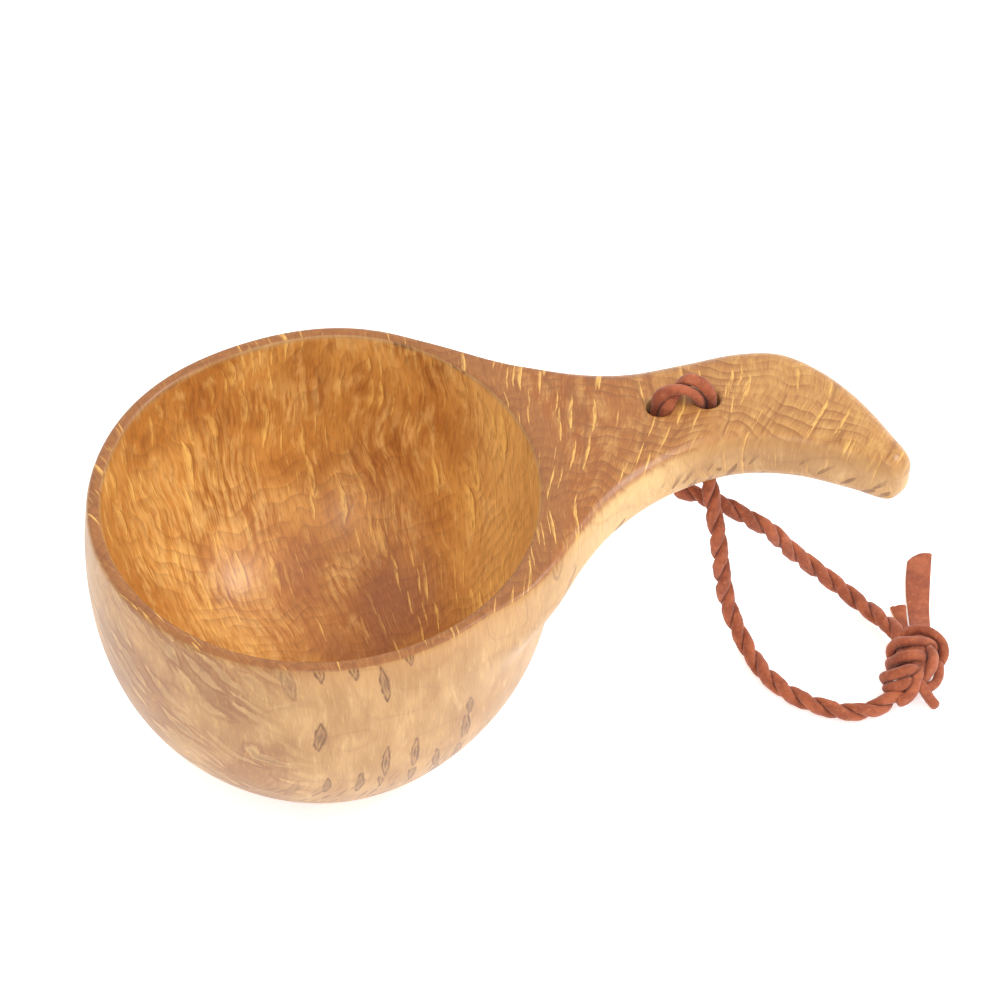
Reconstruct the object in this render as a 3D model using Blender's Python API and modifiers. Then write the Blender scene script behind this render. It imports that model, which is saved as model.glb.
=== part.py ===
"""Kuksa: a one-piece carved burl-birch drinking cup with a knotted two-ply leather lanyard.

Metres, +Z up. The origin is the centre of the flat foot, on the bowl's axis. The handle points
along +X and its tip hooks towards -Y. The lanyard's loop turns about the line through the lower
mouths of the two handle holes.
"""

import math

import bmesh
import bpy
from mathutils import Vector

# Driving dimensions
RIM_Z = 0.058
FOOT_RADIUS = 0.0275
RIM_OUTER_RADIUS = 0.0453
RIM_INNER_RADIUS = 0.0425
RIM_EDGE = 0.0010  # rounding of the rim's two edges
HOLLOW_FLOOR_Z = 0.0085
BOARD_THICKNESS = 0.014
UNDERSIDE_Z = RIM_Z - BOARD_THICKNESS
HOLE_RADIUS = 0.00275
HOLE_MOUTH = 0.0004  # how far a hole's mouth is eased
LACE_RADIUS = 0.00185  # two plies twisted together
TAIL_PLY_RADIUS = 0.0011
STRIP_THICKNESS = 0.0013
GAP = 0.0003  # between pieces that touch

BOWL_STEPS = 64
HOLE_STEPS = 24
HANDLE_RINGS_PER_SPAN = 2
CORNER_STEPS = 4

# The two holes through the handle, as (x, y)
HOLE_CENTRES = ((0.0667, 0.0228), (0.0770, 0.0253))
PIVOT_Z = UNDERSIDE_Z - LACE_RADIUS - GAP - 0.00005

# (radius, z) of the bowl's outside below the rim, and of its hollow, top to bottom
BOWL_OUTSIDE = (
    (0.0460, 0.0530),
    (0.0468, 0.0440),
    (0.0466, 0.0340),
    (0.0452, 0.0240),
    (0.0420, 0.0145),
    (0.0373, 0.0068),
    (0.0322, 0.0019),
    (FOOT_RADIUS, 0.0),
)
BOWL_HOLLOW = (
    (RIM_INNER_RADIUS, 0.0520),
    (0.0414, 0.0420),
    (0.0381, 0.0305),
    (0.0320, 0.0210),
    (0.0230, 0.0135),
    (0.0120, 0.0095),
    (0.0, HOLLOW_FLOOR_Z),
)

# Sections across the handle, bowl to tip:
# (far x, far y, near x, near y, underside z, top z, top edge radius, lower edge radius)
HANDLE_SECTIONS = (
    (0.0080, 0.0400, 0.0160, -0.0180, 0.0400, RIM_Z, 0.0010, 0.0040),
    (0.0180, 0.0418, 0.0350, -0.0275, 0.0400, RIM_Z, 0.0010, 0.0040),
    (0.0280, 0.0380, 0.0440, -0.0205, 0.0405, RIM_Z, 0.0014, 0.0045),
    (0.0390, 0.0345, 0.0495, -0.0130, 0.0415, RIM_Z, 0.0022, 0.0050),
    (0.0500, 0.0333, 0.0555, -0.0048, 0.0430, RIM_Z, 0.0032, 0.0055),
    (0.0580, 0.0338, 0.0620, 0.0022, UNDERSIDE_Z, RIM_Z, 0.0040, 0.0060),
    (0.0660, 0.0354, 0.0690, 0.0080, UNDERSIDE_Z, RIM_Z, 0.0042, 0.0060),
    (0.0750, 0.0380, 0.0775, 0.0124, UNDERSIDE_Z, RIM_Z, 0.0042, 0.0060),
    (0.0840, 0.0402, 0.0855, 0.0141, UNDERSIDE_Z, RIM_Z, 0.0042, 0.0060),
    (0.0920, 0.0400, 0.0930, 0.0137, UNDERSIDE_Z, RIM_Z, 0.0042, 0.0060),
    (0.1000, 0.0354, 0.0990, 0.0118, UNDERSIDE_Z, RIM_Z, 0.0042, 0.0060),
    (0.1068, 0.0282, 0.1045, 0.0098, UNDERSIDE_Z, RIM_Z, 0.0042, 0.0060),
    (0.1120, 0.0200, 0.1095, 0.0080, 0.0444, RIM_Z, 0.0040, 0.0050),
    (0.1144, 0.0158, 0.1121, 0.0071, 0.0451, RIM_Z, 0.0034, 0.0040),
    (0.1158, 0.0130, 0.1141, 0.0076, 0.0466, 0.0575, 0.0024, 0.0026),
    (0.1163, 0.0110, 0.1156, 0.0092, 0.0490, 0.0556, 0.0008, 0.0008),
)

# Centre lines of the lanyard
BRIDGE_ROUTE = (
    (0.0667, 0.0228, PIVOT_Z + LACE_RADIUS + GAP),
    (0.0667, 0.0228, 0.0500),
    (0.0667, 0.0228, 0.0555),
    (0.0670, 0.0229, 0.0583),
    (0.0686, 0.0233, 0.0605),
    (0.07185, 0.02405, 0.0612),
    (0.0751, 0.0248, 0.0605),
    (0.0767, 0.0252, 0.0583),
    (0.0770, 0.0253, 0.0555),
    (0.0770, 0.0253, 0.0500),
    (0.0770, 0.0253, PIVOT_Z + LACE_RADIUS + GAP),
)
FRONT_LEG_ROUTE = (
    (0.0770, 0.0253, PIVOT_Z),
    (0.0773, 0.0243, 0.0390),
    (0.0777, 0.0218, 0.0360),
    (0.0785, 0.0196, 0.0315),
    (0.0796, 0.0171, 0.0260),
    (0.0808, 0.0146, 0.0175),
    (0.0823, 0.0128, 0.0095),
    (0.0846, 0.0095, 0.0046),
    (0.0871, 0.0050, 0.0022),
    (0.0907, -0.0014, 0.0019),
    (0.0956, -0.0063, 0.0019),
    (0.1013, -0.0092, 0.0019),
    (0.1070, -0.0106, 0.0020),
    (0.1125, -0.0096, 0.0023),
    (0.1156, -0.0073, 0.0028),
    (0.1171, -0.0060, 0.0032),
)
BACK_LEG_ROUTE = (
    (0.0667, 0.0228, PIVOT_Z),
    (0.0673, 0.0226, 0.0386),
    (0.0700, 0.0225, 0.0346),
    (0.0747, 0.0232, 0.0315),
    (0.0783, 0.0234, 0.0296),
    (0.0821, 0.0232, 0.0275),
    (0.0866, 0.0226, 0.0245),
    (0.0914, 0.0226, 0.0205),
    (0.0955, 0.0227, 0.0150),
    (0.1010, 0.0223, 0.0095),
    (0.1063, 0.0209, 0.0052),
    (0.1109, 0.0180, 0.0030),
    (0.1148, 0.0136, 0.0032),
    (0.1168, 0.0110, 0.0036),
    (0.1178, 0.0093, 0.0038),
)
THIN_TAIL_ROUTE = (
    (0.1232, -0.0055, 0.0026),
    (0.1240, -0.0068, 0.0018),
    (0.1247, -0.0080, 0.0013),
    (0.1251, -0.0087, 0.0012),
)

# The knot: turns of lace side by side round a core, and the strips that leave it
KNOT_CENTRE = (0.1211, 0.0012, 0.0044)
KNOT_CORE = (0.0046, 0.0074, 0.0036)  # half sizes
KNOT_TURN_RADIUS = 0.0036
KNOT_TURN_FLATNESS = 0.8  # height of a turn to its width
KNOT_TURNS = (-0.0036, 0.0, 0.0036)  # along the core
FLAT_TAIL_OUTLINE = (
    (0.1212, 0.0072),
    (0.1253, 0.0072),
    (0.1261, 0.0202),
    (0.1270, 0.0272),
    (0.1279, 0.0333),
    (0.1253, 0.0334),
    (0.1239, 0.0326),
    (0.1223, 0.0311),
    (0.1213, 0.0208),
)
SHORT_TAIL_OUTLINE = (
    (0.1190, 0.0094),
    (0.1208, 0.0094),
    (0.1209, 0.0184),
    (0.1191, 0.0187),
    (0.1175, 0.0180),
    (0.1180, 0.0160),
    (0.1187, 0.0140),
)

WOOD = (0.62, 0.36, 0.14, 1.0)
LEATHER = (0.40, 0.11, 0.045, 1.0)


def clear_scene():
    for obj in list(bpy.data.objects):
        bpy.data.objects.remove(obj, do_unlink=True)


def collection(name):
    made = bpy.data.collections.new(name)
    bpy.context.scene.collection.children.link(made)
    return made


def material(name, colour, roughness):
    made = bpy.data.materials.new(name)
    made.use_nodes = True
    shader = made.node_tree.nodes["Principled BSDF"]
    shader.inputs["Base Color"].default_value = colour
    shader.inputs["Roughness"].default_value = roughness
    shader.inputs["Metallic"].default_value = 0.0
    return made


def smooth_line(points, per_span):
    """Points of a Catmull-Rom curve through the given points, in any number of dimensions."""
    ends = [points[0]] + list(points) + [points[-1]]
    line = []
    for before, start, end, after in zip(ends, ends[1:], ends[2:], ends[3:]):
        for step in range(per_span):
            t = step / per_span
            line.append(
                tuple(
                    0.5 * (2 * b + (c - a) * t + (2 * a - 5 * b + 4 * c - d) * t * t
                           + (3 * b - a - 3 * c + d) * t ** 3)
                    for a, b, c, d in zip(before, start, end, after)
                )
            )
    line.append(tuple(points[-1]))
    return line


def add_mesh(name, vertices, edges, faces, home):
    mesh = bpy.data.meshes.new(name)
    mesh.from_pydata([tuple(v) for v in vertices], edges, faces)
    mesh.update()
    obj = bpy.data.objects.new(name, mesh)
    home.objects.link(obj)
    return obj


def turned(name, profile, steps, home):
    """A solid of revolution about Z: a (radius, z) profile, top to bottom, with a Screw modifier."""
    vertices = [(radius, 0.0, z) for radius, z in profile]
    edges = [(i, i + 1) for i in range(len(vertices) - 1)]
    obj = add_mesh(name, vertices, edges, [], home)
    screw = obj.modifiers.new("turn", "SCREW")
    screw.axis = "Z"
    screw.angle = 2 * math.pi
    screw.steps = steps
    screw.render_steps = steps
    screw.use_merge_vertices = True
    screw.merge_threshold = 0.00001
    screw.use_smooth_shade = True
    return obj


def boolean(obj, name, operation, other):
    modifier = obj.modifiers.new(name, "BOOLEAN")
    modifier.operation = operation
    modifier.solver = "EXACT"
    modifier.object = other


def as_cutter(obj):
    obj.hide_render = True
    obj.display_type = "WIRE"
    return obj


def bowl_profile():
    """The bowl as a solid, with the rim's outer edge rounded."""
    arc = [
        (
            RIM_OUTER_RADIUS - RIM_EDGE * (1 - math.sin(angle)),
            RIM_Z - RIM_EDGE * (1 - math.cos(angle)),
        )
        for angle in (0.0, math.pi / 4, math.pi / 2)
    ]
    side = smooth_line([arc[-1]] + list(BOWL_OUTSIDE), 2)
    return [(0.0, RIM_Z)] + arc[:-1] + side + [(0.0, 0.0)]


def hollow_profile():
    """The cutter for the hollow: it opens out at the rim, which rounds the rim's inner edge."""
    top = RIM_Z + 0.004
    arc = [
        (
            RIM_INNER_RADIUS + RIM_EDGE * (1 - math.cos(angle)),
            RIM_Z - RIM_EDGE * (1 - math.sin(angle)),
        )
        for angle in (math.pi / 2, math.pi / 4, 0.0)
    ]
    side = smooth_line([arc[-1]] + list(BOWL_HOLLOW), 2)
    return [(0.0, top), (arc[0][0] + RIM_EDGE, top)] + arc[:-1] + side


def hole_profile():
    """The cutter for one hole through the handle, wider at both mouths."""
    wide = HOLE_RADIUS + HOLE_MOUTH
    return [
        (0.0, RIM_Z + 0.003),
        (wide + 0.001, RIM_Z + 0.003),
        (wide, RIM_Z),
        (HOLE_RADIUS, RIM_Z - 2 * HOLE_MOUTH),
        (HOLE_RADIUS, UNDERSIDE_Z + 2 * HOLE_MOUTH),
        (wide, UNDERSIDE_Z),
        (wide + 0.001, UNDERSIDE_Z - 0.003),
        (0.0, UNDERSIDE_Z - 0.003),
    ]


def section_ring(section):
    """One closed ring of points across the handle: a flat top and bottom with rounded edges."""
    far, near = Vector((section[0], section[1])), Vector((section[2], section[3]))
    underside, top, top_edge, lower_edge = section[4:]
    width = (far - near).length
    across = (far - near) / width
    corners = (
        (lower_edge, lower_edge, underside + lower_edge, math.pi),
        (width - lower_edge, lower_edge, underside + lower_edge, 1.5 * math.pi),
        (width - top_edge, top_edge, top - top_edge, 0.0),
        (top_edge, top_edge, top - top_edge, 0.5 * math.pi),
    )
    ring = []
    for along, radius, height, start in corners:
        for step in range(CORNER_STEPS + 1):
            angle = start + 0.5 * math.pi * step / CORNER_STEPS
            place = near + across * (along + radius * math.cos(angle))
            ring.append((place.x, place.y, height + radius * math.sin(angle)))
    return ring


def handle(home):
    """The handle as a loft through its sections. Its root ends inside the bowl's wall."""
    rings = [section_ring(s) for s in smooth_line(HANDLE_SECTIONS, HANDLE_RINGS_PER_SPAN)]
    count = len(rings[0])
    vertices = [point for ring in rings for point in ring]
    faces = []
    for first in range(0, (len(rings) - 1) * count, count):
        for i in range(count):
            j = (i + 1) % count
            faces.append((first + i, first + j, first + count + j, first + count + i))
    faces.append(tuple(range(count)))
    faces.append(tuple(range(len(vertices) - count, len(vertices))))
    obj = add_mesh("handle_blank", vertices, [], faces, home)
    shape = bmesh.new()
    shape.from_mesh(obj.data)
    bmesh.ops.recalc_face_normals(shape, faces=shape.faces)
    shape.to_mesh(obj.data)
    shape.free()
    return obj


def cup_body(home, cutters):
    obj = turned("cup_body", bowl_profile(), BOWL_STEPS, home)
    boolean(obj, "handle", "UNION", as_cutter(handle(cutters)))
    hollow = turned("hollow_cutter", hollow_profile(), BOWL_STEPS, cutters)
    boolean(obj, "hollow", "DIFFERENCE", as_cutter(hollow))
    for number, (x, y) in enumerate(HOLE_CENTRES, 1):
        cutter = turned(f"hole_cutter_{number}", hole_profile(), HOLE_STEPS, cutters)
        cutter.location = (x, y, 0.0)
        boolean(obj, f"hole_{number}", "DIFFERENCE", as_cutter(cutter))
    obj.data.materials.append(material("burl_birch", WOOD, 0.42))
    return obj


def round_start(line, radius):
    """Points and radius factors of a half ball that starts a tube, centred on its first point."""
    first, second = Vector(line[0]), Vector(line[1])
    back = (first - second).normalized()
    ball = []
    for angle in (1.4, 1.0, 0.5):
        ball.append((first + back * radius * math.sin(angle), math.cos(angle)))
    return ball


def lace(name, route, radius, home, per_span=2, ball_start=False):
    """A plain tube along a smooth curve through its route."""
    line = smooth_line(route, per_span)
    points = [(Vector(point), 1.0) for point in line]
    if ball_start:
        points = round_start(line, radius) + points
    data = bpy.data.curves.new(name, "CURVE")
    data.dimensions = "3D"
    data.bevel_depth = radius
    data.bevel_resolution = 2
    data.use_fill_caps = True
    spline = data.splines.new("POLY")
    spline.points.add(len(points) - 1)
    for made, (place, factor) in zip(spline.points, points):
        made.co = (*place, 1.0)
        made.radius = factor
    spline.use_smooth = True
    obj = bpy.data.objects.new(name, data)
    home.objects.link(obj)
    data.materials.append(material(name + "_leather", LEATHER, 0.75))
    return obj


def strip(name, outline, home):
    """A flat end of leather lying on its face: a filled outline with a thickness."""
    data = bpy.data.curves.new(name, "CURVE")
    data.dimensions = "2D"
    data.fill_mode = "BOTH"
    data.extrude = STRIP_THICKNESS / 2
    spline = data.splines.new("POLY")
    spline.points.add(len(outline) - 1)
    for made, (x, y) in zip(spline.points, outline):
        made.co = (x, y, 0.0, 1.0)
    spline.use_cyclic_u = True
    obj = bpy.data.objects.new(name, data)
    obj.location = (0.0, 0.0, STRIP_THICKNESS / 2 + GAP / 3)
    home.objects.link(obj)
    data.materials.append(material(name + "_leather", LEATHER, 0.75))
    return obj


def knot(home, cutters):
    """The knot: a core with turns of lace round it, all one solid."""
    core = bmesh.new()
    bmesh.ops.create_uvsphere(core, u_segments=20, v_segments=12, radius=1.0)
    bmesh.ops.scale(core, vec=KNOT_CORE, verts=core.verts)
    bmesh.ops.translate(core, vec=KNOT_CENTRE, verts=core.verts)
    mesh = bpy.data.meshes.new("knot")
    core.to_mesh(mesh)
    core.free()
    obj = bpy.data.objects.new("knot", mesh)
    home.objects.link(obj)
    for number, along in enumerate(KNOT_TURNS, 1):
        place = Vector(KNOT_CENTRE) + Vector((0.0, along, 0.0))
        bpy.ops.mesh.primitive_torus_add(
            major_radius=KNOT_TURN_RADIUS,
            minor_radius=LACE_RADIUS * 0.95,
            major_segments=20,
            minor_segments=10,
            location=place,
            rotation=(math.pi / 2, 0.0, 0.0),
        )
        turn = bpy.context.object
        turn.name = f"knot_turn_{number}"
        turn.scale = (1.0, KNOT_TURN_FLATNESS, 1.0)
        for old in list(turn.users_collection):
            old.objects.unlink(turn)
        cutters.objects.link(turn)
        boolean(obj, f"turn_{number}", "UNION", as_cutter(turn))
    mesh.materials.append(material("knot_leather", LEATHER, 0.75))
    return obj


def hang_on(pivot, pieces):
    for piece in pieces:
        piece.parent = pivot
        piece.location = Vector(piece.location) - pivot.location


def main():
    clear_scene()
    home = collection("kuksa_cup")
    cutters = collection("cutters")
    cup_body(home, cutters)
    lace("lanyard_bridge", BRIDGE_ROUTE, LACE_RADIUS, home)
    pivot = bpy.data.objects.new("lanyard_pivot", None)
    pivot.location = (
        sum(x for x, _ in HOLE_CENTRES) / 2,
        sum(y for _, y in HOLE_CENTRES) / 2,
        PIVOT_Z,
    )
    home.objects.link(pivot)
    hang_on(
        pivot,
        [
            lace("lanyard_leg_front", FRONT_LEG_ROUTE, LACE_RADIUS, home, ball_start=True),
            lace("lanyard_leg_back", BACK_LEG_ROUTE, LACE_RADIUS, home, ball_start=True),
            knot(home, cutters),
            strip("flat_tail", FLAT_TAIL_OUTLINE, home),
            strip("short_tail", SHORT_TAIL_OUTLINE, home),
            lace("thin_tail", THIN_TAIL_ROUTE, TAIL_PLY_RADIUS, home),
        ],
    )


main()
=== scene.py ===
"""Looks of the kuksa: a carved burl-birch cup and its knotted two-ply leather lanyard.

Metres, +Z up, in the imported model's frame: the origin is the centre of the foot, and the handle
points along +X. The carved wood is polygonised from a distance function, and the lanyard's plies
are swept along the same centre lines as its CAD solids.
"""

import math

import bpy
import numpy as np
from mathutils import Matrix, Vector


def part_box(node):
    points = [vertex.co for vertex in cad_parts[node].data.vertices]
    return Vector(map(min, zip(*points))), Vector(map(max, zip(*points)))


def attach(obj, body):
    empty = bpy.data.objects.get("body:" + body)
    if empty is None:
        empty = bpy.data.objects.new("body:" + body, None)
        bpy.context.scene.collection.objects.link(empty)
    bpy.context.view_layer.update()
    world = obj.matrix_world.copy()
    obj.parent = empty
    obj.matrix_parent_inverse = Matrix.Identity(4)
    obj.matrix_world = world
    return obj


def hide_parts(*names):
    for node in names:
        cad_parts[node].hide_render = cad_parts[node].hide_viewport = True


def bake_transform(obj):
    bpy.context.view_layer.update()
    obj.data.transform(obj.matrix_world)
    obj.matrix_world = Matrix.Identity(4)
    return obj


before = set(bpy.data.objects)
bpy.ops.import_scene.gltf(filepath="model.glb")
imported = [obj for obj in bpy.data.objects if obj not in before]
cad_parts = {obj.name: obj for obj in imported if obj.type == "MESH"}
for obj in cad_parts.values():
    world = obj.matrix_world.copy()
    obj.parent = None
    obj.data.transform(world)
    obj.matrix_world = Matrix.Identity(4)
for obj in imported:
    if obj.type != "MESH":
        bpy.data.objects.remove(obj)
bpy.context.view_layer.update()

# Driving dimensions of the wood
RIM_Z = 0.058
RIM_ROUNDING = 0.0011
BOARD_THICKNESS = 0.014
ROOT_DEPTH = 0.003  # how much deeper the handle is where it meets the bowl
BLEND_RADIUS = 0.007  # fillet between bowl and handle
TOP_EDGE = 0.0044
LOWER_EDGE = 0.0060
TIP_DROP = 0.0006
HOLE_RADIUS = 0.00275
HOLE_MOUTH = 0.0007
HOLE_CENTRES = ((0.0666, 0.0229), (0.0762, 0.0251))
WOOD_CELL = 0.0007
TABLE_CELL = 0.0004

# (radius, z) of the bowl's outside and of its hollow, foot to rim and a little beyond
BOWL_OUTSIDE = (
    (0.0, 0.0),
    (0.0278, 0.0),
    (0.0330, 0.0018),
    (0.0388, 0.0083),
    (0.0434, 0.0169),
    (0.0460, 0.0270),
    (0.0469, 0.0380),
    (0.0465, 0.0490),
    (0.0453, 0.0580),
    (0.0446, 0.0640),
)
BOWL_HOLLOW = (
    (0.0, 0.0085),
    (0.0120, 0.0095),
    (0.0230, 0.0135),
    (0.0320, 0.0210),
    (0.0380, 0.0305),
    (0.0413, 0.0420),
    (0.0424, 0.0520),
    (0.0425, 0.0660),
)
# The bowl was carved a little flatter on its near right side
FLAT_SIDE_ANGLE = math.radians(-35)
FLAT_SIDE_DEPTH = 0.0023
# (degrees round the bowl, metres) where its wall stands a little out or in
HAND_CARVED = ((82, 0.0006), (114, -0.0007), (150, 0.0002), (190, 0.0003))

# (x, y) round the handle seen from above: far edge, tip, near edge, then its root in the bowl
HANDLE_OUTLINE = (
    (0.0150, 0.0362),
    (0.0205, 0.0374),
    (0.0265, 0.0371),
    (0.0330, 0.0359),
    (0.0400, 0.0346),
    (0.0500, 0.0335),
    (0.0610, 0.0342),
    (0.0720, 0.0370),
    (0.0830, 0.0400),
    (0.0920, 0.0400),
    (0.1000, 0.0355),
    (0.1070, 0.0281),
    (0.1128, 0.0187),
    (0.1162, 0.0108),
    (0.1126, 0.0071),
    (0.1040, 0.0102),
    (0.0940, 0.0135),
    (0.0840, 0.0140),
    (0.0750, 0.0114),
    (0.0660, 0.0060),
    (0.0580, -0.0015),
    (0.0510, -0.0110),
    (0.0450, -0.0200),
    (0.0360, -0.0270),
    (0.0100, -0.0200),
    (0.0000, 0.0280),
)

# Centre lines of the lanyard, as in the CAD
FRONT_LEG_ROUTE = (
    (0.0764, 0.0251, 0.0418),
    (0.0769, 0.0242, 0.0390),
    (0.0777, 0.0218, 0.0360),
    (0.0785, 0.0196, 0.0315),
    (0.0796, 0.0171, 0.0260),
    (0.0808, 0.0146, 0.0175),
    (0.0823, 0.0128, 0.0095),
    (0.0846, 0.0095, 0.0046),
    (0.0871, 0.0050, 0.0022),
    (0.0907, -0.0014, 0.0019),
    (0.0956, -0.0063, 0.0019),
    (0.1013, -0.0092, 0.0019),
    (0.1070, -0.0106, 0.0020),
    (0.1125, -0.0096, 0.0023),
    (0.1156, -0.0073, 0.0028),
    (0.1171, -0.0060, 0.0032),
)
BACK_LEG_ROUTE = (
    (0.0667, 0.0228, 0.0418),
    (0.0673, 0.0226, 0.0386),
    (0.0700, 0.0225, 0.0346),
    (0.0747, 0.0232, 0.0315),
    (0.0783, 0.0234, 0.0296),
    (0.0821, 0.0232, 0.0275),
    (0.0866, 0.0226, 0.0245),
    (0.0914, 0.0226, 0.0205),
    (0.0955, 0.0227, 0.0150),
    (0.1010, 0.0223, 0.0095),
    (0.1063, 0.0209, 0.0052),
    (0.1109, 0.0180, 0.0030),
    (0.1148, 0.0136, 0.0032),
    (0.1168, 0.0110, 0.0036),
    (0.1178, 0.0093, 0.0038),
)
# The bridge's two plies part over the handle: one rises in front and dives under the other
BRIDGE_FRONT_PLY = (
    (0.0658, 0.0243, 0.0505),
    (0.0659, 0.0243, 0.0550),
    (0.0662, 0.0240, 0.0582),
    (0.0669, 0.0238, 0.0601),
    (0.0684, 0.0239, 0.0612),
    (0.0706, 0.0240, 0.0615),
    (0.0723, 0.0241, 0.0610),
    (0.0738, 0.0242, 0.0598),
    (0.0748, 0.0244, 0.0580),
    (0.0752, 0.0250, 0.0553),
    (0.0752, 0.0251, 0.0505),
)
BRIDGE_BACK_PLY = (
    (0.0676, 0.0222, 0.0505),
    (0.0675, 0.0224, 0.0545),
    (0.0680, 0.0227, 0.0570),
    (0.0689, 0.0236, 0.0588),
    (0.0698, 0.0249, 0.0592),
    (0.0704, 0.0258, 0.0604),
    (0.0715, 0.0259, 0.0618),
    (0.0728, 0.0258, 0.0624),
    (0.0744, 0.0254, 0.0622),
    (0.0758, 0.0249, 0.0612),
    (0.0767, 0.0248, 0.0595),
    (0.0771, 0.0250, 0.0572),
    (0.0772, 0.0252, 0.0545),
    (0.0771, 0.0252, 0.0505),
)

# The tied knot: where its core is, and the centre line of each strand that shows
KNOT_CENTRE = (0.1208, 0.0008, 0.0042)
KNOT_CORE = (0.0040, 0.0062, 0.0034)  # half sizes
KNOT_STRANDS = (
    (  # arc over the top right
        (0.1176, 0.0052, 0.0030),
        (0.1188, 0.0071, 0.0046),
        (0.1212, 0.0079, 0.0061),
        (0.1243, 0.0069, 0.0066),
        (0.1267, 0.0050, 0.0057),
        (0.1272, 0.0031, 0.0044),
        (0.1264, 0.0019, 0.0030),
        (0.1250, 0.0012, 0.0022),
    ),
    (  # upper turn
        (0.1170, 0.0030, 0.0018),
        (0.1163, 0.0040, 0.0038),
        (0.1170, 0.0042, 0.0062),
        (0.1191, 0.0034, 0.0079),
        (0.1219, 0.0038, 0.0074),
        (0.1244, 0.0044, 0.0058),
        (0.1256, 0.0042, 0.0038),
        (0.1254, 0.0040, 0.0020),
    ),
    (  # middle turn, with its rounded fold
        (0.1166, 0.0002, 0.0016),
        (0.1158, 0.0006, 0.0036),
        (0.1164, -0.0001, 0.0056),
        (0.1178, -0.0006, 0.0074),
        (0.1203, -0.0005, 0.0081),
        (0.1219, -0.0003, 0.0072),
        (0.1222, -0.0004, 0.0052),
    ),
    (  # lower turn, standing out to the left
        (0.1160, -0.0030, 0.0014),
        (0.1144, -0.0029, 0.0034),
        (0.1153, -0.0038, 0.0055),
        (0.1168, -0.0043, 0.0069),
        (0.1188, -0.0040, 0.0075),
        (0.1203, -0.0033, 0.0067),
        (0.1209, -0.0028, 0.0050),
    ),
    (  # lowest turn
        (0.1158, -0.0046, 0.0014),
        (0.1149, -0.0053, 0.0030),
        (0.1166, -0.0061, 0.0049),
        (0.1185, -0.0060, 0.0058),
        (0.1200, -0.0050, 0.0053),
        (0.1207, -0.0040, 0.0040),
    ),
    (  # strand down the right
        (0.1234, 0.0046, 0.0040),
        (0.1239, 0.0028, 0.0060),
        (0.1244, 0.0002, 0.0071),
        (0.1239, -0.0023, 0.0065),
        (0.1227, -0.0035, 0.0048),
        (0.1218, -0.0036, 0.0032),
    ),
    (  # outer strand, low on the right
        (0.1250, 0.0032, 0.0024),
        (0.1259, 0.0010, 0.0031),
        (0.1259, -0.0014, 0.0031),
        (0.1249, -0.0036, 0.0027),
        (0.1231, -0.0047, 0.0026),
        (0.1216, -0.0046, 0.0026),
    ),
    (  # down the middle into the front leg
        (0.1216, -0.0018, 0.0050),
        (0.1213, -0.0034, 0.0062),
        (0.1203, -0.0056, 0.0059),
        (0.1196, -0.0074, 0.0045),
        (0.1182, -0.0084, 0.0034),
        (0.1164, -0.0086, 0.0026),
    ),
)
THIN_TAIL_ROUTE = (
    (0.1204, -0.0036, 0.0042),
    (0.1214, -0.0050, 0.0044),
    (0.1224, -0.0059, 0.0033),
    (0.1234, -0.0068, 0.0020),
    (0.1243, -0.0077, 0.0013),
    (0.1251, -0.0087, 0.0012),
)
# Where the legs run on into the knot
FRONT_LEG_END = ((0.1186, -0.0049, 0.0036), (0.1202, -0.0036, 0.0040))
BACK_LEG_END = ((0.1185, 0.0072, 0.0038), (0.1194, 0.0050, 0.0040))

# The two flat ends: (x, y) along each edge from the knot outwards, and the shape of the cut
FLAT_TAIL_LEFT = (
    (0.1212, 0.0060),
    (0.1212, 0.0116),
    (0.1213, 0.0168),
    (0.1212, 0.0208),
    (0.1215, 0.0258),
    (0.1223, 0.0311),
)
FLAT_TAIL_RIGHT = (
    (0.1252, 0.0060),
    (0.1254, 0.0116),
    (0.1258, 0.0168),
    (0.1262, 0.0208),
    (0.1270, 0.0272),
    (0.1279, 0.0333),
)
FLAT_TAIL = (FLAT_TAIL_LEFT, FLAT_TAIL_RIGHT, 0.0011)
SHORT_TAIL_LEFT = (
    (0.1190, 0.0070),
    (0.1189, 0.0110),
    (0.1187, 0.0140),
    (0.1181, 0.0162),
    (0.1175, 0.0180),
)
SHORT_TAIL_RIGHT = (
    (0.1209, 0.0070),
    (0.1209, 0.0110),
    (0.1209, 0.0140),
    (0.1209, 0.0162),
    (0.1210, 0.0184),
)
SHORT_TAIL = (SHORT_TAIL_LEFT, SHORT_TAIL_RIGHT, 0.0004)
STRIP_THICKNESS = 0.0013

PLY_OFFSET = 0.00088  # of a ply's centre line from the lace's
PLY_WIDE = 0.00127  # half sizes of one ply
PLY_THICK = 0.00098
LOOSE_PLY_WIDE = 0.00128
LOOSE_PLY_THICK = 0.00100
KNOT_PLY_WIDE = 0.00120
KNOT_PLY_THICK = 0.00102
THIN_TAIL_WIDE = 0.00112
THIN_TAIL_THICK = 0.00098
PLY_ROUND_END = 0.0009
LEAST_HEIGHT = 0.00015  # of the knot and the thin end over the table
FOLD_SHADE_NEAR = 0.0011  # from the next ply's centre line: leather nearer than this gets the full painted shade
FOLD_SHADE_FAR = 0.0017
TWIST_PITCH = 0.0118  # one whole turn of the two plies
HOLE_SEAM_Z = 0.0500  # inside the holes, where the legs meet the bridge

CAMERA_ELEVATION = math.radians(47.8)
CAMERA_DISTANCE = 0.6
CAMERA_LENS = 111.3  # mm

# The wood's figure: its pith stood in front of the cup (mm)
PITH = (40.0, -110.0)
PITH_DISTANCE = 120.0

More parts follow.
